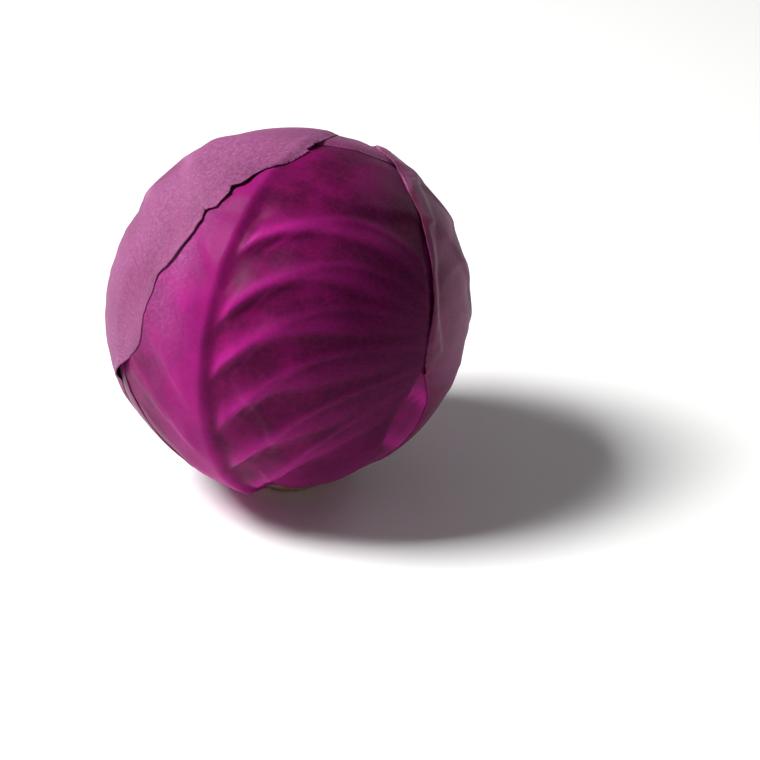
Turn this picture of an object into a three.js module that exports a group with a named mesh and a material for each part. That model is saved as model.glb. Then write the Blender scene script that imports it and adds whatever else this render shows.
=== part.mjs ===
// A whole red cabbage: a stalk cut flat where the head stands, the leaves that grew from it
// wrapped one over another, and the folded bud in the middle.
// Millimetres, +Z up. The origin is the middle of the stalk's cut face, and -Y is the front,
// the side where the front leaf shows its rib.
import * as THREE from 'three';

// The head
const middleHeight = 76; // from the stalk's cut face up to the middle of the head
const insideRadius = 68.2; // from the middle out to the wrapper leaves, at the sides
const crownDrop = 5; // how much nearer the middle the crown is than the sides
const undersideDrop = 4; // how much nearer the middle the underside is than the sides
const lean = 0.9; // how far the head is out of round

// The wrapper leaves, as thin as they are on the outside of a head
const bladeThickness = 1;
const wrapperStep = 2.65; // from one wrapper leaf to the next one out
const overlapRoom = 5; // degrees a leaf stays lifted past the edge of the one it covers
const overlapFade = 12; // degrees in which it then settles on the leaf underneath
const clearAround = 5; // degrees round each spot in which a leaf clears what it covers
const ribSpread = 7; // degrees off the rib where it has sunk to a third of its height
const baseCurve = 24; // degrees a leaf's base curves up from its rib to its corners

// The inner leaves and the bud
const innerLeafCount = 8;
const innerLeafGap = 1.2; // between the wrappers and the first inner leaf
const innerLeafStep = 5.2; // from one inner leaf to the next one in
const innerLeafThickness = 1.9;
const innerLeafRise = 1.2; // how much higher each next leaf in is centred
const innerLeafTurn = 137.5; // degrees round the stalk from one leaf to the next
const firstInnerTurn = 20; // degrees round the stalk where the first inner leaf faces
const budRadius = 25.4;
const budFoldDepth = 1.3;
const budFoldCount = 5;

// The stalk: its radius at each height, from the cut face up to the growing tip
const stalkProfile = [
  [0, 0],
  [15.9, 0],
  [16.5, 0.8],
  [16.3, 5],
  [15.4, 12],
  [12.5, 24],
  [9.2, 40],
  [6, 52],
  [2.8, 57.5],
  [0, 58.5],
];
const stalkSides = 36;

// Every leaf has its own two angles. "Along" runs up its rib: 0 straight under the head, 90 at
// the side, 180 at the crown and more beyond it. "Off" is how far a spot is off the rib, to
// either side. Turn says where round the head the rib is: 0 at the front, 90 at +X.
// Base, widest and tip are places along the leaf; baseReach and reach are how far off the rib
// the leaf spreads at its base and where it is widest. Rib is how high the rib stands above the
// blade at the base, and ribFade the degrees in which it sinks to a third of that.
// The list goes from the inside out.
const wrapperLeaves = [
  { name: 'under_leaf_back', turn: 163, base: 15, baseReach: 44, widest: 100, reach: 72, tip: 208,
    rib: 0.6, ribFade: 45, cells: [16, 16], colour: 0x7d2458 },
  { name: 'under_leaf_right', turn: 58, base: 15, baseReach: 44, widest: 100, reach: 72, tip: 206,
    rib: 0.6, ribFade: 45, cells: [16, 16], colour: 0x7d2458 },
  { name: 'front_leaf', turn: -28, base: 15, baseReach: 48, widest: 105, reach: 74, tip: 218,
    rib: 4, ribFade: 100, cells: [22, 17], colour: 0x9c1a70 },
  { name: 'lower_left_leaf', turn: -110, base: 15, baseReach: 36, widest: 62, reach: 45, tip: 152,
    rib: 1.6, ribFade: 45, cells: [14, 14], colour: 0x9d2e6a },
  { name: 'back_leaf', turn: 175, base: 15, baseReach: 36, widest: 95, reach: 68, tip: 179,
    rib: 1.8, ribFade: 60, cells: [16, 15], colour: 0x9b4e7f },
  { name: 'right_leaf', turn: 112, base: 15, baseReach: 38, widest: 90, reach: 68, tip: 146,
    rib: 2.4, ribFade: 60, cells: [16, 13], colour: 0x7b3a60 },
  { name: 'top_leaf', turn: -125, base: 15, baseReach: 25, widest: 106, reach: 71, tip: 189,
    rib: 2.4, ribFade: 60, cells: [16, 17], colour: 0xa9558d },
];
const innerLeafShape = {
  base: 20, baseReach: 50, widest: 100, reach: 80, tip: 208, rib: 0, ribFade: 45, cells: [12, 12],
};
const tipBluntness = 0.92; // how much of the way to a point the tip is carried
const ribCrowding = 0.8; // how close the mesh lines are at the rib, against an even spacing

const degrees = THREE.MathUtils.degToRad;
const smooth = (x) => THREE.MathUtils.smoothstep(x, 0, 1);

// The direction from the middle of the head to a spot on a leaf
function directionOn(leaf, along, off) {
  const facing = new THREE.Vector3(Math.sin(degrees(leaf.turn)), -Math.cos(degrees(leaf.turn)), 0);
  const sideways = new THREE.Vector3(Math.cos(degrees(leaf.turn)), Math.sin(degrees(leaf.turn)), 0);
  return facing
    .multiplyScalar(Math.sin(degrees(along)))
    .add(new THREE.Vector3(0, 0, -Math.cos(degrees(along))))
    .multiplyScalar(Math.cos(degrees(off)))
    .addScaledVector(sideways, Math.sin(degrees(off)));
}

// The opposite: where on a leaf a direction falls, as its two angles
function placeOn(leaf, direction) {
  const turn = degrees(leaf.turn);
  const ahead = direction.x * Math.sin(turn) - direction.y * Math.cos(turn);
  const beside = direction.x * Math.cos(turn) + direction.y * Math.sin(turn);
  const along = THREE.MathUtils.radToDeg(Math.atan2(ahead, -direction.z));
  return {
    along: along < -90 ? along + 360 : along,
    off: THREE.MathUtils.radToDeg(Math.asin(THREE.MathUtils.clamp(beside, -1, 1))),
  };
}

// How far a leaf spreads off its rib between its base and its widest place
function reachBelowWidest(leaf, along) {
  const down = THREE.MathUtils.clamp((leaf.widest - along) / (leaf.widest - leaf.base), 0, 1);
  return leaf.baseReach + (leaf.reach - leaf.baseReach) * Math.cos((Math.PI / 2) * down) ** 2;
}

// Where along the leaf its base edge is; share goes from 0 at the rib to 1 at a corner
function baseEdge(leaf, share) {
  return leaf.base + baseCurve * share ** 2;
}

// How far outside a leaf's edge a spot is, in degrees; less than nothing on the leaf
function outsideEdge(leaf, { along, off }) {
  if (along > leaf.widest) {
    const up = (along - leaf.widest) / (leaf.tip - leaf.widest);
    return (Math.hypot(off / leaf.reach, up) - 1) * leaf.reach;
  }
  const reach = reachBelowWidest(leaf, along);
  return Math.max(Math.abs(off) - reach, baseEdge(leaf, off / reach) - along);
}

// How high the rib stands above the blade
function ribHeight(leaf, { along, off }) {
  const sunk = Math.exp(-Math.max(along - leaf.base, 0) / leaf.ribFade);
  return leaf.rib * sunk * Math.exp(-((off / ribSpread) ** 2));
}

// The head inside the wrapper leaves: nearly round, lower at the crown and underneath
function insideSurface(direction) {
  const up = Math.max(direction.z, 0);
  const down = Math.max(-direction.z, 0);
  const outOfRound = lean * (direction.x * direction.y - direction.x * direction.z);
  return insideRadius - crownDrop * up ** 2 - undersideDrop * down ** 2 + outOfRound;
}

// What the first so many wrapper leaves add up to under the next one
function wrappedSurface(direction, leavesBelow) {
  let radius = insideSurface(direction);
  for (const leaf of wrapperLeaves.slice(0, leavesBelow)) {
    const place = placeOn(leaf, direction);
    const covered = smooth(1 - (outsideEdge(leaf, place) - overlapRoom) / overlapFade);
    radius += covered * (wrapperStep + ribHeight(leaf, place));
  }
  return radius;
}

// The farthest out a surface reaches close around a direction
function clearOf(surface, direction) {
  const aside = new THREE.Vector3(direction.z, direction.x, direction.y).cross(direction);
  const nearby = [0, 1, 2, 3].map((quarter) =>
    aside
      .clone()
      .applyAxisAngle(direction, (quarter * Math.PI) / 2)
      .setLength(Math.tan(degrees(clearAround)))
      .add(direction)
      .normalize(),
  );
  return Math.max(...[direction, ...nearby].map(surface));
}

// A leaf as a closed sheet: a flat box bent to the leaf's outline and to its inner face
function leafSheet(leaf, thickness, middle, innerFace) {
  const sheet = new THREE.BoxGeometry(2, 2, 1, leaf.cells[0], leaf.cells[1], 1);
  const spots = sheet.attributes.position;
  for (let i = 0; i < spots.count; i += 1) {
    const share = spots.getX(i) * (ribCrowding + (1 - ribCrowding) * spots.getX(i) ** 2);
    const upward = spots.getY(i);
    const nearTip = Math.max(upward, 0) * tipBluntness * (Math.PI / 2);
    const along = upward > 0
      ? leaf.widest + (leaf.tip - leaf.widest) * Math.sin(nearTip)
      : leaf.widest + (leaf.widest - baseEdge(leaf, share)) * upward;
    const reach = upward > 0 ? leaf.reach * Math.cos(nearTip) : reachBelowWidest(leaf, along);
    const place = { along, off: share * reach };
    const direction = directionOn(leaf, place.along, place.off);
    const outside = spots.getZ(i) > 0;
    const radius = innerFace(direction) + (outside ? thickness + ribHeight(leaf, place) : 0);
    spots.setXYZ(i, direction.x * radius, direction.y * radius, middle + direction.z * radius);
  }
  return sheet;
}

function waxySkin(colour, roughness) {
  return new THREE.MeshStandardMaterial({ color: colour, roughness, metalness: 0 });
}

function addPiece(name, shape, skin) {
  const piece = new THREE.Mesh(shape, skin);
  piece.name = name;
  head.add(piece);
}

const head = new THREE.Group();
head.name = 'red_cabbage';

wrapperLeaves.forEach((leaf, leavesBelow) => {
  const innerFace = (direction) =>
    clearOf((nearby) => wrappedSurface(nearby, leavesBelow), direction);
  addPiece(
    leaf.name,
    leafSheet(leaf, bladeThickness, middleHeight, innerFace),
    waxySkin(leaf.colour, 0.45),
  );
});

for (let place = 0; place < innerLeafCount; place += 1) {
  const leaf = { ...innerLeafShape, turn: firstInnerTurn + place * innerLeafTurn };
  const outerRadius = insideRadius - innerLeafGap - place * innerLeafStep;
  const innerFace = (direction) =>
    (insideSurface(direction) * outerRadius) / insideRadius - innerLeafThickness;
  const middle = middleHeight + place * innerLeafRise;
  addPiece(
    `inner_leaf_${place + 1}`,
    leafSheet(leaf, innerLeafThickness, middle, innerFace),
    waxySkin(0x8a2f63, 0.5),
  );
}

// The bud: a ball with shallow folds running from its underside to its crown
const bud = new THREE.SphereGeometry(1, 24, 16).rotateX(Math.PI / 2);
const budSpots = bud.attributes.position;
const budMiddle = middleHeight + innerLeafCount * innerLeafRise;
for (let i = 0; i < budSpots.count; i += 1) {
  const direction = new THREE.Vector3().fromBufferAttribute(budSpots, i).normalize();
  const round = Math.atan2(direction.y, direction.x);
  const level = 1 - direction.z ** 2;
  const fold = budFoldDepth * level * Math.sin(budFoldCount * round + 2 * direction.z);
  const spot = direction.multiplyScalar(budRadius - budFoldDepth + fold);
  budSpots.setXYZ(i, spot.x, spot.y, budMiddle + spot.z);
}
addPiece('heart_bud', bud, waxySkin(0xb9799c, 0.55));

const stalkOutline = stalkProfile.map(([radius, height]) => new THREE.Vector2(radius, height));
const stalk = new THREE.LatheGeometry(stalkOutline, stalkSides).rotateX(Math.PI / 2);
addPiece('stalk', stalk, waxySkin(0xeadfc4, 0.7));

export default head;
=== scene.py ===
# %% [markdown]
# # A red cabbage
# One whole head as it is picked: a stalk cut flat, the leaves that grew from it wrapped one
# over another, and the folded bud inside. The CAD solids carry the sizes. Here every piece
# gets its living surface: ribs, veins, torn margins, and the pale wax that dulls old leaves.

# %% Start
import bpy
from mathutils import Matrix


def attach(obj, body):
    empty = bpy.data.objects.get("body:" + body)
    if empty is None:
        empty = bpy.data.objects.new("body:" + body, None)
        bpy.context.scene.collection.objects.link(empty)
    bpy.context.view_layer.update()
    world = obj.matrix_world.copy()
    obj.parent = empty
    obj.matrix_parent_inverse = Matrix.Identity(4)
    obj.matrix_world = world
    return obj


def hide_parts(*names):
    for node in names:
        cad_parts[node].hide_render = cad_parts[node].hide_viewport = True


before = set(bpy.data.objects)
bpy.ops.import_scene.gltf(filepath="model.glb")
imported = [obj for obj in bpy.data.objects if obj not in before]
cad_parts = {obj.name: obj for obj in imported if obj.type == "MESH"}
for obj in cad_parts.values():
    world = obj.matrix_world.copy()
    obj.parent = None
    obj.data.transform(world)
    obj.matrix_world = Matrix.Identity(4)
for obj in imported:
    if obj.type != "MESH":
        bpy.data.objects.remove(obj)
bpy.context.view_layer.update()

from types import SimpleNamespace

import bpy
import numpy as np
from mathutils import Matrix, Vector

# %% [markdown]
# ## Small helpers
# Everything is in metres, and MM turns the sizes of leaves into them. Random shapes come
# from sums of sine waves with fixed seeds, so the head is the same on every run.

# %% Helpers
MM = 0.001


def smooth(x):
    """From 0 to 1 with a level start and end: 3x² - 2x³, x clipped to 0..1."""
    x = np.clip(x, 0, 1)
    return x * x * (3 - 2 * x)


def ripples(spots, size, seed, waves=28):
    """Soft random bumps, mostly between -1 and 1.

    The sum of sine waves in random directions, each about `size` long.
    """
    rng = np.random.default_rng(seed)
    headings = rng.normal(size=(waves, spots.shape[1]))
    headings /= np.linalg.norm(headings, axis=1, keepdims=True)
    headings *= 2 * np.pi / size * rng.uniform(0.7, 1.5, (waves, 1))
    phases = rng.uniform(0, 2 * np.pi, waves)
    return np.sin(spots @ headings.T + phases).sum(axis=1) / np.sqrt(2 * waves)


# %% [markdown]
# ## Where things are on a leaf
# Every leaf has its own two angles. `along` runs up its rib: 0 straight under the head, 90 at
# the side, 180 at the crown. `off` is how far a spot is off the rib, to either side. `turn` is
# where the rib is round the head: 0 at the front, 90 at +X. With them a vein or an edge can be
# written as a short formula, whichever way the leaf faces.

# %% Leaf angles
def directions_on(leaf, along, off):
    """Unit vectors from the middle of the head to spots on a leaf."""
    turn, along, off = np.radians(leaf.turn), np.radians(along), np.radians(off)
    ahead = np.array([np.sin(turn), -np.cos(turn), 0.0])
    beside = np.array([np.cos(turn), np.sin(turn), 0.0])
    up = np.array([0.0, 0.0, 1.0])
    forward = (np.cos(off) * np.sin(along))[:, None] * ahead
    return forward - (np.cos(off) * np.cos(along))[:, None] * up + np.sin(off)[:, None] * beside


def places_on(leaf, directions):
    """The opposite: the two angles of each direction, as arrays `along` and `off`."""
    turn = np.radians(leaf.turn)
    ahead = directions[:, 0] * np.sin(turn) - directions[:, 1] * np.cos(turn)
    beside = directions[:, 0] * np.cos(turn) + directions[:, 1] * np.sin(turn)
    along = np.degrees(np.arctan2(ahead, -directions[:, 2]))
    off = np.degrees(np.arcsin(np.clip(beside, -1, 1)))
    return np.where(along < -90, along + 360, along), off


# %% [markdown]
# ## The leaves
# The outlines follow those of the solids within a few degrees. A leaf is widest at `widest`,
# closes at `tip` and starts at `base` beside the stalk. The list goes from the inside out, as
# the leaves lie. `bloom` is how much pale wax the leaf still has, `rubbed` the share of it lost
# along the margin, `left_bloom` extra pale wax left of the rib, partly bloom and
# partly a painted highlight where the lamp lights the leaf, and `right_sap` how much
# painted shade darkens the blade to the right. The leaf in front has been handled clean. Side
# veins climb `rise` degrees and level out over `arch` degrees. A tear has its place on the
# margin, half-width and depth; a curl its place, spread and height in mm. Places run from -90
# at the base to 90 at the tip, and tears and curls are on the leaf's plus side.

# %% The wrapper leaves
BASE_CURVE = 13  # degrees the base edge curves up to its corners


def wrapper(name, turn, base_reach, widest, reach, tip, **more):
    """A leaf's numbers, with the usual ones for what isn't given."""
    usual = dict(
        base=14.2, rib=2.4, rib_fade=60, rib_left=7, rib_right=9, rib_bend=0,
        veins_right=(38, 58, 78, 98, 118, 138), veins_left=(46, 68, 88, 108, 130),
        vein_height=0.7, left_veins=1.0, vein_start=0.5, rise=28, arch=29, grid=(120, 84),
        bloom=0.5, rubbed=0.3, left_bloom=0.0, right_sap=0.0, ragged=1.2, lift=0.0,
        tears=(), curls=(),
    )
    return SimpleNamespace(
        name=name, turn=turn, base_reach=base_reach, widest=widest, reach=reach, tip=tip,
        **{**usual, **more},
    )


WRAPPERS = [
    wrapper("under_leaf_back", 163, 44, 100, 72, 208, rib=0.8, bloom=0.3, grid=(90, 64)),
    wrapper("under_leaf_right", 58, 44, 100, 72, 206, rib=0.8, bloom=0.08, grid=(90, 64)),
    wrapper(
        "front_leaf", -28, 48, 105, 80, 218, rib=5.4, rib_fade=170, rib_left=17, rib_right=3.6,
        rib_bend=4, veins_right=(30, 50, 69, 88, 106, 127), veins_left=(40, 60, 80, 102, 124),
        vein_height=3.2, left_veins=0.3, vein_start=2, rise=33, arch=23, bloom=0.03,
        rubbed=0, left_bloom=0.62, right_sap=0.8, grid=(190, 250),
    ),
    wrapper(
        "lower_left_leaf", -110, 36, 62, 45, 152, rib=3, bloom=0.45, grid=(140, 100),
        vein_height=0.9, lift=0.2,
    ),
    wrapper(
        "back_leaf", 175, 36, 95, 68, 179, rib=4, rib_fade=75, bloom=0.6, grid=(160, 120),
        vein_height=1.4,
    ),
    wrapper(
        "right_leaf", 112, 38, 90, 66, 146, rib=4, rib_fade=75, bloom=0.55, rubbed=0.9,
        grid=(160, 120), vein_height=1.5,
    ),
    wrapper(
        "top_leaf", -125, 25, 106, 71, 189, rib=4.6, rib_fade=80, rib_right=7, bloom=0.85,
        rubbed=0, grid=(170, 190), vein_height=0.95,
        tears=((34, 5, 0.03), (57.6, 2.2, 0.05), (66.6, 1.6, 0.035), (74, 3, 0.02)),
        curls=((56, 23, 0.55), (68, 5, 0.8), (-34, 9, 2.0)),
    ),
]
print("wrapper leaves, from the inside out:", [leaf.name for leaf in WRAPPERS])

# %% [markdown]
# ## Outlines
# `outside_edge` says how far a spot is past a leaf's smooth outline. The real margin lies a
# little inside it: wavy all round, and with tears where the leaf was caught and torn.

# %% Outlines
def reach_below(leaf, along):
    """Half-width in degrees below the widest place: base + (reach - base) cos²."""
    down = np.clip((leaf.widest - along) / (leaf.widest - leaf.base), 0, 1)
    return leaf.base_reach + (leaf.reach - leaf.base_reach) * np.cos(np.pi / 2 * down) ** 2


def outside_edge(leaf, along, off):
    """Degrees outside the outline, less than nothing on the leaf."""
    up = (along - leaf.widest) / (leaf.tip - leaf.widest)
    above = (np.hypot(off / leaf.reach, up) - 1) * leaf.reach
    reach = reach_below(leaf, along)
    base_edge = leaf.base + BASE_CURVE * (off / reach) ** 2
    below = np.maximum(np.abs(off) - reach, base_edge - along)
    return np.where(along > leaf.widest, above, below)


def margin_loss(leaf, arc, side):
    """The share of the leaf missing at its margin, 0 where it is whole.

    `arc` runs from -90 at the base to 90 at the tip. Waves of three sizes, plus each tear as
    a sharp notch with its own place, half-width and depth on the leaf's plus side.
    """
    seed = sum(map(ord, leaf.name))
    spots = np.column_stack([arc * side, np.full_like(arc, 7.0)])
    wave = 0.008 * (1 + ripples(spots, 46, seed)) + 0.004 * np.abs(ripples(spots, 9, seed + 1))
    wave += 0.003 * np.abs(ripples(spots, 2.6, seed + 2))
    loss = wave * leaf.ragged
    for place, half_width, depth in leaf.tears:
        notch = np.clip(1 - np.abs(arc - place) / half_width, 0, 1) ** 0.8
        loss = loss + np.where(side > 0, depth * notch, 0)
    return loss


# %% [markdown]
# ## Ribs and veins
# The midrib is a ridge that is stout at the base and sinks towards the tip. Side veins leave
# it steeply and arch over. Each is a fold with a long upper slope and a short lower one,
# because the blade sags from one vein to the next. Smaller veins run between them.

# %% Ribs and veins
VEIN_FADE = 30  # degrees off the rib over which side veins sink
VEIN_BELOW, VEIN_ABOVE = 2.2, 8.5  # degrees, the two slopes of a side vein
TWIG_SHARE = 0.3  # height of the branching veins, as a share of a side vein's


def ridge(distance, below, above):
    """A fold's height from 0 to 1: e to the minus (distance / width)², a width for each side."""
    return np.exp(-((distance / np.where(distance < 0, below, above)) ** 2))


def rib_profile(leaf, along, off):
    """Height of the midrib in mm, and how far each spot is off its crest in degrees.

    Across the rib it is e to the minus (distance / width) to the power 1.5, which keeps a crest.
    """
    off_crest = off - leaf.rib_bend * smooth((along - 95) / 75)
    up_leaf = np.maximum(along - leaf.base, 0)
    narrowing = 0.55 + 0.45 * np.exp(-up_leaf / 70)
    height = leaf.rib * np.exp(-up_leaf / leaf.rib_fade) * smooth((up_leaf + 6) / 22)
    width = np.where(off_crest < 0, leaf.rib_left, leaf.rib_right * narrowing)
    shape = np.exp(-(np.abs(off_crest / width) ** 1.5))
    return height * shape, off_crest


def vein_lines(leaf, along, off, off_crest):
    """Height of the side veins in mm, and a 0..1 mask of pale vein colour and painted highlight."""
    away = np.abs(off_crest)
    height, pale = np.zeros_like(along), np.zeros_like(along)
    rng = np.random.default_rng(sum(map(ord, leaf.name)))
    for side, starts in ((1, leaf.veins_right), (-1, leaf.veins_left)):
        on_side = smooth((side * off_crest - leaf.vein_start) / 6)
        for start in starts:
            rise = leaf.rise * rng.uniform(0.9, 1.12)
            line = start + rise * (1 - np.exp(-away / leaf.arch)) + 1.2 * np.sin(away / 9 + start)
            gap = (along - line) * np.cos(np.radians(off))
            fading = np.exp(-away / VEIN_FADE) * (1 if side > 0 else leaf.left_veins)
            height += on_side * fading * ridge(gap, VEIN_BELOW, VEIN_ABOVE) * leaf.vein_height
            # Painted highlight: the pale vein colour runs up each vein's upper slope, which faces the
            # lamp, besides marking the paler vein itself.
            pale += 0.9 * on_side * fading**1.5 * ridge(gap, 1.2, 4.5)
            for branch in (0.34, 0.68):
                spread = np.maximum(away - 16 * branch, 0)
                twig = start + 9 * branch + (rise + 7) * (1 - np.exp(-spread / 22))
                gap = (along - twig) * np.cos(np.radians(off))
                out = on_side * smooth(spread / 6) * fading
                height += out * ridge(gap, 0.9, 2.2) * leaf.vein_height * TWIG_SHARE
                pale += 0.2 * out * ridge(gap, 0.8, 1.2)
    return height, np.clip(pale, 0, 1)


# %% [markdown]
# ## How the leaves lie on one another
# Each leaf lies on all the leaves under it. The radius under a leaf is the inside of the head
# plus a step for every leaf below that reaches there, plus that leaf's own ribs and veins
# where they show. Where a leaf is covered its veins are pressed flat, and past its edge the
# step dies away within a few degrees, so every next leaf hugs the ones below it.

# %% The stack of leaves
MIDDLE = 76 * MM  # height of the middle of the head
INSIDE_MM = 72.4  # radius under all the wrapper leaves
INSIDE = INSIDE_MM * MM
BLADE = 0.85 * MM
STEP = 1.12 * MM
COVERED = 0.6  # degrees past an edge that still count as covered
DIES_AWAY = 5  # degrees over which the step of a covered leaf dies away


def inside_surface(directions):
    """The head under the wrappers: nearly round, a little lower on top and underneath."""
    up, down = np.maximum(directions[:, 2], 0), np.maximum(-directions[:, 2], 0)
    out_of_round = directions[:, 0] * (0.9 * directions[:, 1] + 1.5 * directions[:, 2])
    swells = ripples(directions, 2.6, 5)
    return INSIDE - MM * (2 * up**2 + 2.2 * down**2 - out_of_round - 0.5 * swells)


def showing(number, directions):
    """1 where a wrapper leaf shows, 0 where a later leaf covers it."""
    share = np.ones(len(directions))
    for leaf in WRAPPERS[number + 1 :]:
        share *= smooth(1 + outside_edge(leaf, *places_on(leaf, directions)) / 6)
    return share


def relief(number, directions):
    """Height in metres of a wrapper's rib and veins, and its mask of pale veins and painted highlights.
    """
    leaf = WRAPPERS[number]
    along, off = places_on(leaf, directions)
    rib, off_crest = rib_profile(leaf, along, off)
    veins, pale = vein_lines(leaf, along, off, off_crest)
    puckers = 0.1 * leaf.vein_height * (1 + ripples(directions, 0.26, number + 40))
    height = (rib + veins + puckers) * MM * showing(number, directions)
    base_white = np.exp(-np.maximum(along - leaf.base, 0) / 12)
    # Painted highlight: the rib's paler colour spreads wide over its left flank, which faces the lamp,
    # and only a little onto its shaded right flank.
    rib_pale_and_highlight = ridge(off_crest, leaf.rib_left * 1.1, leaf.rib_right * 0.5)
    rib_pale_and_highlight *= 0.6 * np.exp(-np.maximum(along - leaf.base, 0) / 170)
    return height, np.clip(pale + rib_pale_and_highlight + 0.5 * base_white, 0, 1)


def surface_under(number, directions):
    """Radius in metres of everything below a wrapper leaf."""
    radius = inside_surface(directions)
    for below in range(number):
        leaf = WRAPPERS[below]
        edge = outside_edge(leaf, *places_on(leaf, directions))
        covered = smooth(1 - (edge - COVERED) / DIES_AWAY)
        radius += covered * (STEP + relief(below, directions)[0])
    return radius


# %% [markdown]
# ## A leaf's mesh
# A leaf is a grid with a front and a back face, closed round its margin. The margin thins to
# less than half the blade, as a leaf's edge does, and is lifted a little where it is free.

# %% Leaf mesh
def grid_places(leaf):
    """The two angles, edge arc and distance from the edge of a grid of spots on a leaf."""
    across, upward = np.meshgrid(np.linspace(-1, 1, leaf.grid[0]), np.linspace(-1, 1, leaf.grid[1]))
    across, upward = across.ravel(), upward.ravel()
    side = np.where(across < 0, -1.0, 1.0)
    arc = np.radians(np.maximum(upward, 0) * 88)
    share, rise = across * np.cos(arc), np.sin(arc)
    turned = np.degrees(np.arctan2(rise, np.abs(share) + 1e-9))
    far_out = np.hypot(share, rise)
    keep_up = 1 - margin_loss(leaf, turned, side) * far_out**10
    base_edge = leaf.base + BASE_CURVE * across**2
    along_low = leaf.widest + (leaf.widest - base_edge) * upward
    keep_low = 1 - margin_loss(leaf, upward * 90, side) * np.abs(across) ** 10
    above = upward > 0
    along = np.where(above, leaf.widest + (leaf.tip - leaf.widest) * rise * keep_up, along_low)
    off_up = leaf.reach * share * keep_up
    off = np.where(above, off_up, across * reach_below(leaf, along_low) * keep_low)
    inward_up = (1 - far_out) * leaf.reach
    inward_low = np.minimum(
        (1 - np.abs(across)) * reach_below(leaf, along_low), (1 + upward) * (leaf.widest - base_edge)
    )
    inward = np.where(above, inward_up, inward_low)
    return along, off, np.where(above, turned, upward * 90) * side, np.maximum(inward, 0)


def closed_sheet(name, outer, inner, columns, rows):
    """A closed mesh from two grids of points, the outer one facing out."""
    count = columns * rows
    cell = (np.arange(rows - 1)[:, None] * columns + np.arange(columns - 1)).ravel()
    front = np.column_stack([cell, cell + 1, cell + columns + 1, cell + columns])
    back = front[:, ::-1] + count
    low, high = np.arange(columns), np.arange(columns) + (rows - 1) * columns
    left = np.arange(rows) * columns
    rim = np.concatenate([low, left[1:] + columns - 1, high[::-1][1:], left[::-1][1:]])
    start, end = rim[:-1], rim[1:]
    band = np.column_stack([start, start + count, end + count, end])
    mesh = bpy.data.meshes.new(name)
    faces = np.concatenate([front, back, band]).tolist()
    mesh.from_pydata(np.concatenate([outer, inner]).tolist(), [], faces)
    mesh.shade_smooth()
    return mesh


def paint(mesh, name, values):
    """Stores one number for each vertex, for the material to read."""
    layer = mesh.attributes.new(name, "FLOAT", "POINT")
    layer.data.foreach_set("value", np.asarray(values, dtype=np.float32))


def lay_flat(mesh, along, off):
    """Stores where each vertex is on the leaf if it were laid flat, in metres."""
    flat = np.column_stack([off, along, np.zeros_like(along)]) * np.radians(MIDDLE)
    layer = mesh.attributes.new("laid_flat", "FLOAT_VECTOR", "POINT")
    layer.data.foreach_set("vector", np.tile(flat, (2, 1)).astype(np.float32).ravel())


def add_piece(name, mesh, material):
    """Puts a mesh in the scene as the finished look of one solid."""
    mesh.materials.append(material)
    piece = bpy.data.objects.new("look_" + name, mesh)
    bpy.context.scene.collection.objects.link(piece)
    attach(piece, "root")
    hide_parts(name)
    return piece


# %% [markdown]
# ## Materials
# A cabbage leaf is soft plant skin under a film of wax. Purple cell sap shows through it: deep
# magenta where the leaf is clean, lilac-grey where the wax has grown into a matte bloom. Veins
# hold little colour, so they are paler, and the same pale colour is also used as a painted
# highlight on the lit slopes of ribs and veins. A near-black purple is painted shade on the
# right of the leaf in front. Wax has a refractive index of about 1.45.

# %% Material tools
def srgb(code):
    """A hex colour as linear red, green, blue and alpha."""
    part = np.array([int(code[i : i + 2], 16) for i in (1, 3, 5)]) / 255
    linear = np.where(part <= 0.04045, part / 12.92, ((part + 0.055) / 1.055) ** 2.4)
    return (*linear.tolist(), 1.0)


def new_material(name):
    """An empty node material, its tree, and its Principled shader."""
    material = bpy.data.materials.new(name)
    material.use_nodes = True
    tree = material.node_tree
    return material, tree, tree.nodes["Principled BSDF"]


def add(tree, kind, settings=None, **inputs):
    """Adds a node; inputs are values or other nodes' sockets, by name or by number as in_0."""
    node = tree.nodes.new(kind)
    for key, value in (settings or {}).items():
        setattr(node, key, value)
    for key, value in inputs.items():
        name = int(key[3:]) if key.startswith("in_") else key.replace("_", " ")
        if isinstance(value, bpy.types.NodeSocket):
            tree.links.new(value, node.inputs[name])
        else:
            node.inputs[name].default_value = value
    return node


def mix(tree, share, first, second):
    """Mixes two colours and gives the result's socket."""
    node = add(tree, "ShaderNodeMix", {"data_type": "RGBA"}, in_0=share, in_6=first, in_7=second)
    return node.outputs[2]


def remap(tree, value, low, high, start, end):
    """Takes low..high to start..end, clipped and smoothed."""
    settings = {"interpolation_type": "SMOOTHSTEP"}
    node = add(
        tree, "ShaderNodeMapRange", settings,
        in_0=value, in_1=low, in_2=high, in_3=start, in_4=end,
    )
    return node.outputs[0]


def math(tree, operation, first, second):
    """One sum on two numbers or sockets."""
    return add(tree, "ShaderNodeMath", {"operation": operation}, in_0=first, in_1=second).outputs[0]


# %% [markdown]
# One recipe makes every leaf's material. The fine net of veinlets is a cell pattern about 5 mm
# across with one of 2 mm inside it. The bloom is broken into soft patches of 1 to 3 mm, with
# paler crumbs of wax of about 1 mm, and it is thinner on ribs and veins.

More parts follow.
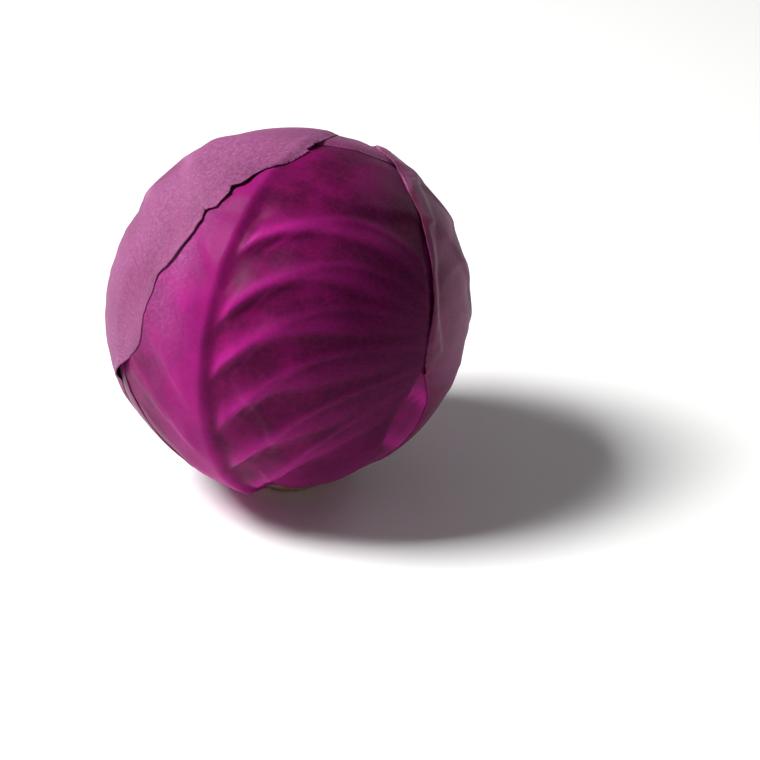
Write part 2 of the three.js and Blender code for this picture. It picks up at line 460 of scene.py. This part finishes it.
# %% Leaf material
def leaf_material(name, blade, deep, vein_and_highlight, bloom, gloss):
    """Leaf skin: `blade` and `deep` mix in broad patches, then painted shade, pale veins with painted
    highlights, and bloom.
    """
    material, tree, skin = new_material(name)
    flat = add(tree, "ShaderNodeAttribute", {"attribute_name": "laid_flat"}).outputs["Vector"]
    pale = add(tree, "ShaderNodeAttribute", {"attribute_name": "pale"}).outputs["Fac"]
    wax = add(tree, "ShaderNodeAttribute", {"attribute_name": "wax"}).outputs["Fac"]
    sap = add(tree, "ShaderNodeAttribute", {"attribute_name": "sap"}).outputs["Fac"]

    broad = add(tree, "ShaderNodeTexNoise", Vector=flat, Scale=60.0, Detail=3.0).outputs[0]
    patches = add(tree, "ShaderNodeTexNoise", Vector=flat, Scale=420.0, Detail=5.0).outputs[0]
    grain = add(tree, "ShaderNodeTexNoise", Vector=flat, Scale=1500.0, Detail=2.0).outputs[0]
    nets = []
    for cells_per_metre in (210.0, 520.0):
        net = add(
            tree, "ShaderNodeTexVoronoi", {"feature": "DISTANCE_TO_EDGE"},
            Vector=flat, Scale=cells_per_metre,
        )
        nets.append(remap(tree, net.outputs["Distance"], 0.0, 0.14, 1.0, 0.0))
    net = math(tree, "ADD", nets[0], math(tree, "MULTIPLY", nets[1], 0.5))

    colour = mix(tree, remap(tree, broad, 0.35, 0.65, 0.0, 1.0), srgb(deep), srgb(blade))
    # Painted shade: a near-black purple darkens the blade by the painted shade mask, on the right of the
    # leaf in front, away from the lamp.
    colour = mix(tree, sap, colour, srgb("#33011f"))
    veins_and_highlight = math(tree, "ADD", pale, math(tree, "MULTIPLY", net, 0.04))
    # Pale veins: partly their own paler colour, partly painted highlight on the lit slopes of ribs and
    # veins.
    colour = mix(tree, veins_and_highlight, colour, srgb(vein_and_highlight))
    broken = remap(tree, patches, 0.34, 0.66, 0.66, 1.0)
    on_blade = remap(tree, pale, 0.0, 1.0, 1.0, 0.4)
    # The bloom film, which on the lit left side of the leaf in front is also a painted highlight.
    film_and_highlight = math(tree, "MULTIPLY", math(tree, "MULTIPLY", wax, broken), on_blade)
    colour = mix(tree, film_and_highlight, colour, srgb(bloom))
    dots = add(tree, "ShaderNodeTexNoise", Vector=flat, Scale=900.0, Detail=4.0).outputs[0]
    flecks = math(tree, "MULTIPLY", film_and_highlight, remap(tree, dots, 0.45, 0.75, 0.0, 0.2))
    colour = mix(tree, flecks, colour, srgb("#cfb0c6"))
    tree.links.new(colour, skin.inputs["Base Color"])

    rough = remap(tree, film_and_highlight, 0.0, 0.8, 0.46, 0.7)
    tree.links.new(rough, skin.inputs["Roughness"])
    skin.inputs["IOR"].default_value = 1.45
    skin.inputs["Specular IOR Level"].default_value = gloss
    skin.inputs["Sheen Weight"].default_value = 0.03
    skin.inputs["Sheen Roughness"].default_value = 0.4
    skin.inputs["Sheen Tint"].default_value = srgb("#e6d9f2")

    height = math(tree, "ADD", math(tree, "MULTIPLY", net, 0.3), math(tree, "MULTIPLY", grain, 0.4))
    bump = add(tree, "ShaderNodeBump", Height=height, Strength=0.35, Distance=0.14 * MM)
    tree.links.new(bump.outputs[0], skin.inputs["Normal"])
    return material


# On the leaf in front, the clean material's bloom colour is mostly a painted highlight on its lit left
# side, and its vein colour also paints highlights on rib and vein crests.
FRESH = leaf_material("red_cabbage_leaf_clean", "#6c0348", "#4b022f", "#bd2390", "#a55592", 0.06)
BLOOMED = leaf_material("red_cabbage_leaf_bloomed", "#6a1145", "#570b37", "#a9628f", "#92507f", 0.2)
INNER = leaf_material("red_cabbage_leaf_inner", "#8a2463", "#6f174e", "#d9a9c6", "#a98aa6", 0.3)

# %% [markdown]
# ## Build the wrapper leaves
# Each leaf's back face lies a hair above what is under it and its front face adds the blade,
# the rib and the veins. Most margins lie flush on what is below. A few free stretches, such as
# the torn one, are lifted by up to two millimetres.

# %% Wrapper leaves
FLUSH_MM = 0.16  # how much closer a margin lies than the rest of its leaf
LEAST_STAND = 0.15  # how free a margin is where nothing lifts it, from 0 to 1


def free_of_later(number, directions):
    """1 where no later leaf is near, 0 under or close beside one."""
    share = np.ones(len(directions))
    for leaf in WRAPPERS[number + 1 :]:
        share *= smooth((outside_edge(leaf, *places_on(leaf, directions)) - 5.6) / 4)
    return share


def build_wrapper(number):
    """One wrapper leaf as a closed mesh with its masks."""
    leaf = WRAPPERS[number]
    along, off, arc, inward = grid_places(leaf)
    directions = directions_on(leaf, along, off)
    height, pale = relief(number, directions)
    under = surface_under(number, directions)
    waves = 0.55 + 0.45 * ripples(np.column_stack([arc, arc * 0]), 24, number + 70)
    lift = leaf.lift * smooth(1 - inward / 6) * np.clip(waves, 0, None)
    stands = np.full_like(arc, LEAST_STAND)
    for place, spread, extra in leaf.curls:
        here = np.exp(-(((arc - place) / spread) ** 4))
        stands = np.maximum(stands, here)
        lift = lift + extra * smooth(1 - inward / 8) * here
    lift = lift * MM * free_of_later(number, directions)
    edge_share = 0.05 + 0.4 * stands
    thickness = BLADE * (edge_share + (1 - edge_share) * smooth(inward / 4.5))
    flush = FLUSH_MM * (1 - stands) * smooth(1 - inward / 2.5)
    inner = under + (0.03 + 0.09 * np.maximum(stands, smooth(inward / 3)) - flush) * MM + lift
    outer = inner + thickness + height
    middle = np.array([0, 0, MIDDLE])
    mesh = closed_sheet(
        leaf.name, directions * outer[:, None] + middle, directions * inner[:, None] + middle,
        *leaf.grid,
    )
    wax = leaf.bloom * (0.82 + 0.18 * ripples(directions, 0.5, number + 11))
    wax *= 1 - leaf.rubbed * smooth(1 - inward / 22)
    # Painted highlight: pale wax is laid on the leaf's left side, up high and far left, where the lamp
    # lights it; partly bloom, partly painted light.
    high_left = smooth(-(off + 1) / 14) * smooth((along - 78) / 55)
    far_left = smooth((-off - 36) / 24)
    wax += leaf.left_bloom * np.maximum(high_left, far_left) * (0.8 + 0.2 * ripples(directions, 0.3, 90))
    paint(mesh, "pale", np.tile(pale, 2))
    paint(mesh, "wax", np.tile(np.clip(wax, 0, 1), 2))
    # Painted shade: the blade is painted darker towards its right side, away from the lamp.
    paint(mesh, "sap", np.tile(leaf.right_sap * smooth((off - 8) / 46), 2))
    lay_flat(mesh, along, off)
    add_piece(leaf.name, mesh, FRESH if leaf.bloom < 0.4 else BLOOMED)
    print(leaf.name, "triangles:", sum(len(p.vertices) - 2 for p in mesh.polygons))


for number in range(len(WRAPPERS)):
    build_wrapper(number)

# %% [markdown]
# ## The inner leaves and the bud
# They are packed inside where nobody sees them, so they keep the plain forms of the solids:
# thick curved leaves, each turned by the golden angle from the one outside it, round a bud.

# %% Inner leaves
INNER_COUNT = 8
FIRST_TURN, GOLDEN_ANGLE = 20, 137.5  # degrees round the head
INNER_RADIUS_MM, INNER_STEP_MM = 67, 5.2  # outermost one, and from each to the next
INNER_BLADE_MM, INNER_RISE_MM = 1.9, 1.2  # thickness, and how much higher each one sits

for place in range(INNER_COUNT):
    leaf = wrapper(
        f"inner_leaf_{place + 1}", FIRST_TURN + place * GOLDEN_ANGLE, 50, 100, 80, 208,
        base=20, grid=(48, 40),
    )
    along, off, arc, inward = grid_places(leaf)
    directions = directions_on(leaf, along, off)
    radius = (INNER_RADIUS_MM - INNER_STEP_MM * place) / INSIDE_MM * inside_surface(directions)
    middle = np.array([0, 0, MIDDLE + place * INNER_RISE_MM * MM])
    outer = directions * radius[:, None] + middle
    thickness = INNER_BLADE_MM * MM * (0.5 + 0.5 * smooth(inward / 8))
    inner = directions * (radius - thickness)[:, None] + middle
    mesh = closed_sheet(leaf.name, outer, inner, *leaf.grid)
    paint(mesh, "pale", np.tile(0.9 * np.exp(-np.maximum(along - 20, 0) / 45), 2))
    paint(mesh, "wax", np.full(2 * len(along), 0.15))
    lay_flat(mesh, along, off)
    add_piece(leaf.name, mesh, INNER)
print("inner leaves:", INNER_COUNT)

# %% [markdown]
# The bud is a ball of tiny folded leaves. Its folds run from the underside to the crown.

# %% Bud
BUD_RADIUS_MM = 24


def closed_rings(columns, rows):
    """Faces of a closed shape: rings of points going up, then a bottom and a top point."""
    first = np.arange(columns)
    after = (first + 1) % columns
    low = np.arange(rows - 1)[:, None] * columns
    high = low + columns
    sides = np.stack([low + first, low + after, high + after, high + first], axis=-1)
    bottom, last = rows * columns, (rows - 1) * columns
    under = np.column_stack([first * 0 + bottom, after, first])
    over = np.column_stack([first * 0 + bottom + 1, last + first, last + after])
    return sides.reshape(-1, 4).tolist() + under.tolist() + over.tolist()


def ball(name, radius_of, columns=64, rows=40):
    """A closed ball whose radius is a function of direction, with one vertex at each pole."""
    level = np.linspace(-np.pi / 2, np.pi / 2, rows + 2)[1:-1]
    round_, up = np.meshgrid(np.arange(columns) * 2 * np.pi / columns, level)
    ring = np.column_stack(
        [(np.cos(up) * np.cos(round_)).ravel(), (np.cos(up) * np.sin(round_)).ravel(), np.sin(up).ravel()]
    )
    directions = np.concatenate([ring, [[0, 0, -1.0], [0, 0, 1.0]]])
    points = directions * radius_of(directions)[:, None]
    mesh = bpy.data.meshes.new(name)
    mesh.from_pydata(points.tolist(), [], closed_rings(columns, rows))
    mesh.shade_smooth()
    return mesh, directions


def bud_radius(directions):
    """The bud's radius with five shallow folds that fade at the poles."""
    round_ = np.arctan2(directions[:, 1], directions[:, 0])
    fold = (1 - directions[:, 2] ** 2) * np.sin(5 * round_ + 2 * directions[:, 2])
    return (BUD_RADIUS_MM + 1.2 * fold) * MM


bud, bud_directions = ball("heart_bud", bud_radius)
bud_middle = MIDDLE + INNER_COUNT * INNER_RISE_MM * MM
bud.transform(Matrix.Translation((0, 0, bud_middle)))
paint(bud, "pale", 0.5 - 0.5 * bud_directions[:, 2])
paint(bud, "wax", np.full(len(bud_directions), 0.1))
flat = bud.attributes.new("laid_flat", "FLOAT_VECTOR", "POINT")
flat.data.foreach_set("vector", (bud_directions * BUD_RADIUS_MM * MM).astype(np.float32).ravel())
add_piece("heart_bud", bud, INNER)
print("bud radius in mm:", BUD_RADIUS_MM, "and its middle's height:", round(bud_middle / MM, 1))

# %% [markdown]
# ## The stalk
# The stalk is cut flat with a knife just under the lowest leaves. The cut dries to cream with
# a thin brown rim, and the scars of older leaves ring its short side. Above that a collar of
# flesh spreads under the leaves that grow from it, and the core tapers up into the head.

# %% Stalk
def stalk_material():
    """Cut stalk flesh: cream, drier and browner towards the rim, with pale rind on the side."""
    material, tree, skin = new_material("red_cabbage_stalk_flesh")
    where = add(tree, "ShaderNodeTexCoord").outputs["Object"]
    rim = add(tree, "ShaderNodeAttribute", {"attribute_name": "rim"}).outputs["Fac"]
    grain = add(tree, "ShaderNodeTexNoise", Vector=where, Scale=420.0, Detail=5.0).outputs[0]
    blotch = add(tree, "ShaderNodeTexNoise", Vector=where, Scale=140.0, Detail=2.0).outputs[0]
    flesh = mix(tree, remap(tree, blotch, 0.35, 0.7, 0.0, 1.0), srgb("#efe2c3"), srgb("#dcc79b"))
    worn = math(tree, "MULTIPLY", rim, remap(tree, grain, 0.3, 0.6, 0.5, 1.0))
    colour = mix(tree, worn, flesh, srgb("#9a7a52"))
    tree.links.new(colour, skin.inputs["Base Color"])
    skin.inputs["Roughness"].default_value = 0.72
    skin.inputs["IOR"].default_value = 1.42
    bump = add(tree, "ShaderNodeBump", Height=grain, Strength=0.5, Distance=0.3 * MM)
    tree.links.new(bump.outputs[0], skin.inputs["Normal"])
    return material


def build_stalk():
    """A turned shape with dents and leaf scars: flat cut face, short side, collar, core.

    The collar is the ring of flesh that the leaves grow from, just inside the lowest ones.
    """
    profile_mm = np.array([
        (3, 0), (6, 0), (9, 0), (12, 0), (14.4, 0.0), (15.6, 0.15), (16.2, 0.6), (16.5, 1.4),
        (16.9, 3), (17.4, 5), (17.8, 7.5), (18.3, 8.9), (21, 9.9), (24.5, 11.4), (27.5, 13.2),
        (24, 14.6), (17, 16), (12.4, 24), (9.1, 40), (5.9, 52), (2.8, 57.4),
    ])
    sides = 96
    turn = np.arange(sides) * 2 * np.pi / sides
    radius, height = profile_mm[:, :1], profile_mm[:, 1:]
    scars = 0.25 * np.sin(3 * turn + 0.9 * height) + 0.15 * np.sin(7 * turn - 1.3 * height)
    out = radius + scars * smooth((radius - 9) / 5) - 0.2
    ring = np.stack([out * np.cos(turn), out * np.sin(turn), height + 0 * turn], axis=-1)
    points = np.concatenate([ring.reshape(-1, 3), [[0, 0, 0], [0, 0, 58.3]]]) * MM
    mesh = bpy.data.meshes.new("stalk")
    mesh.from_pydata(points.tolist(), [], closed_rings(sides, len(profile_mm)))
    mesh.shade_smooth()
    from_middle = np.hypot(points[:, 0], points[:, 1]) / MM
    paint(mesh, "rim", smooth((from_middle - 13.2) / 2.6) * smooth(1 - points[:, 2] / (9 * MM)))
    add_piece("stalk", mesh, stalk_material())
    print("stalk height in mm:", round(points[:, 2].max() / MM, 1))


build_stalk()

# %% [markdown]
# ## Floor, light and camera
# A pale sweep of card, one large soft lamp high on the left, a faint one behind on the right,
# and a weak white surround, so the right side of the head falls into shade.

# %% Floor
def sweep_profile():
    """Distance and height of the card in metres: flat, then a quarter turn up."""
    bend = np.radians(np.linspace(0, 80, 12))
    flat = [(0.25, 0), (0.5, 0), (1.0, 0), (1.6, 0), (2.2, 0)]
    return np.array(flat + [(2.2 + 0.9 * np.sin(a), 0.9 - 0.9 * np.cos(a)) for a in bend[1:]])


def build_floor():
    """A round sweep, the same from every side."""
    profile, sides = sweep_profile(), 96
    turn = np.arange(sides) * 2 * np.pi / sides
    out, height = profile[:, :1], profile[:, 1:]
    ring = np.stack([out * np.cos(turn), out * np.sin(turn), height + 0 * turn], axis=-1)
    points = np.concatenate([ring.reshape(-1, 3), [[0, 0, 0]]])
    first, after = np.arange(sides), (np.arange(sides) + 1) % sides
    faces = np.column_stack([first * 0 + len(points) - 1, first, after]).tolist()
    for row in range(len(profile) - 1):
        low, high = row * sides, (row + 1) * sides
        faces += np.column_stack([low + first, high + first, high + after, low + after]).tolist()
    mesh = bpy.data.meshes.new("floor")
    mesh.from_pydata(points.tolist(), [], faces)
    mesh.shade_smooth()
    material, tree, card = new_material("white_card")
    card.inputs["Base Color"].default_value = srgb("#fbfbfa")
    card.inputs["Roughness"].default_value = 0.9
    card.inputs["Specular IOR Level"].default_value = 0.1
    mesh.materials.append(material)
    floor = bpy.data.objects.new("floor", mesh)
    bpy.context.scene.collection.objects.link(floor)


build_floor()

# %% Light
def aim(thing, target):
    """Turns a lamp or camera so it looks at a point."""
    heading = Vector(target) - thing.location
    thing.rotation_euler = heading.to_track_quat("-Z", "Y").to_euler()


def soft_lamp(name, place, target, size, watts):
    """A square white area lamp, its size in metres."""
    lamp = bpy.data.lights.new(name, "AREA")
    lamp.shape, lamp.size, lamp.energy = "SQUARE", size, watts
    thing = bpy.data.objects.new(name, lamp)
    thing.location = place
    bpy.context.scene.collection.objects.link(thing)
    aim(thing, target)


soft_lamp("key_lamp", (-1.15, -0.1, 1.5), (0, 0, 0.07), 0.65, 56)
soft_lamp("rim_lamp", (1.3, 1.2, 1.0), (0, 0, 0.09), 0.7, 3)

world = bpy.data.worlds.new("studio")
world.use_nodes = True
world.node_tree.nodes["Background"].inputs["Color"].default_value = (1, 1, 1, 1)
world.node_tree.nodes["Background"].inputs["Strength"].default_value = 0.11
bpy.context.scene.world = world
bpy.context.scene.view_settings.view_transform = "Standard"

# %% [markdown]
# The camera looks 25 degrees down on the head from the front. Its lens is long, so the round
# head stays round, and the head stands left of the middle and a little above it.

# %% Camera
DISTANCE = 1.3
ELEVATION = np.radians(25)
LENS_MM = 148
ASIDE, LOWER = 0.0379, 0.0287  # metres that the camera looks right of the head and below it
towards = np.array([0, -np.cos(ELEVATION), np.sin(ELEVATION)])
upwards = np.array([0, np.sin(ELEVATION), np.cos(ELEVATION)])
head_middle = np.array([0, 0, MIDDLE])

camera = bpy.data.objects.new("camera", bpy.data.cameras.new("camera"))
camera.data.lens = LENS_MM
camera.data.sensor_width = 36
camera.location = head_middle + DISTANCE * towards
bpy.context.scene.collection.objects.link(camera)
aim(camera, head_middle + [ASIDE, 0, 0] - LOWER * upwards)
bpy.context.scene.camera = camera
print("camera at", [round(v, 3) for v in camera.location])
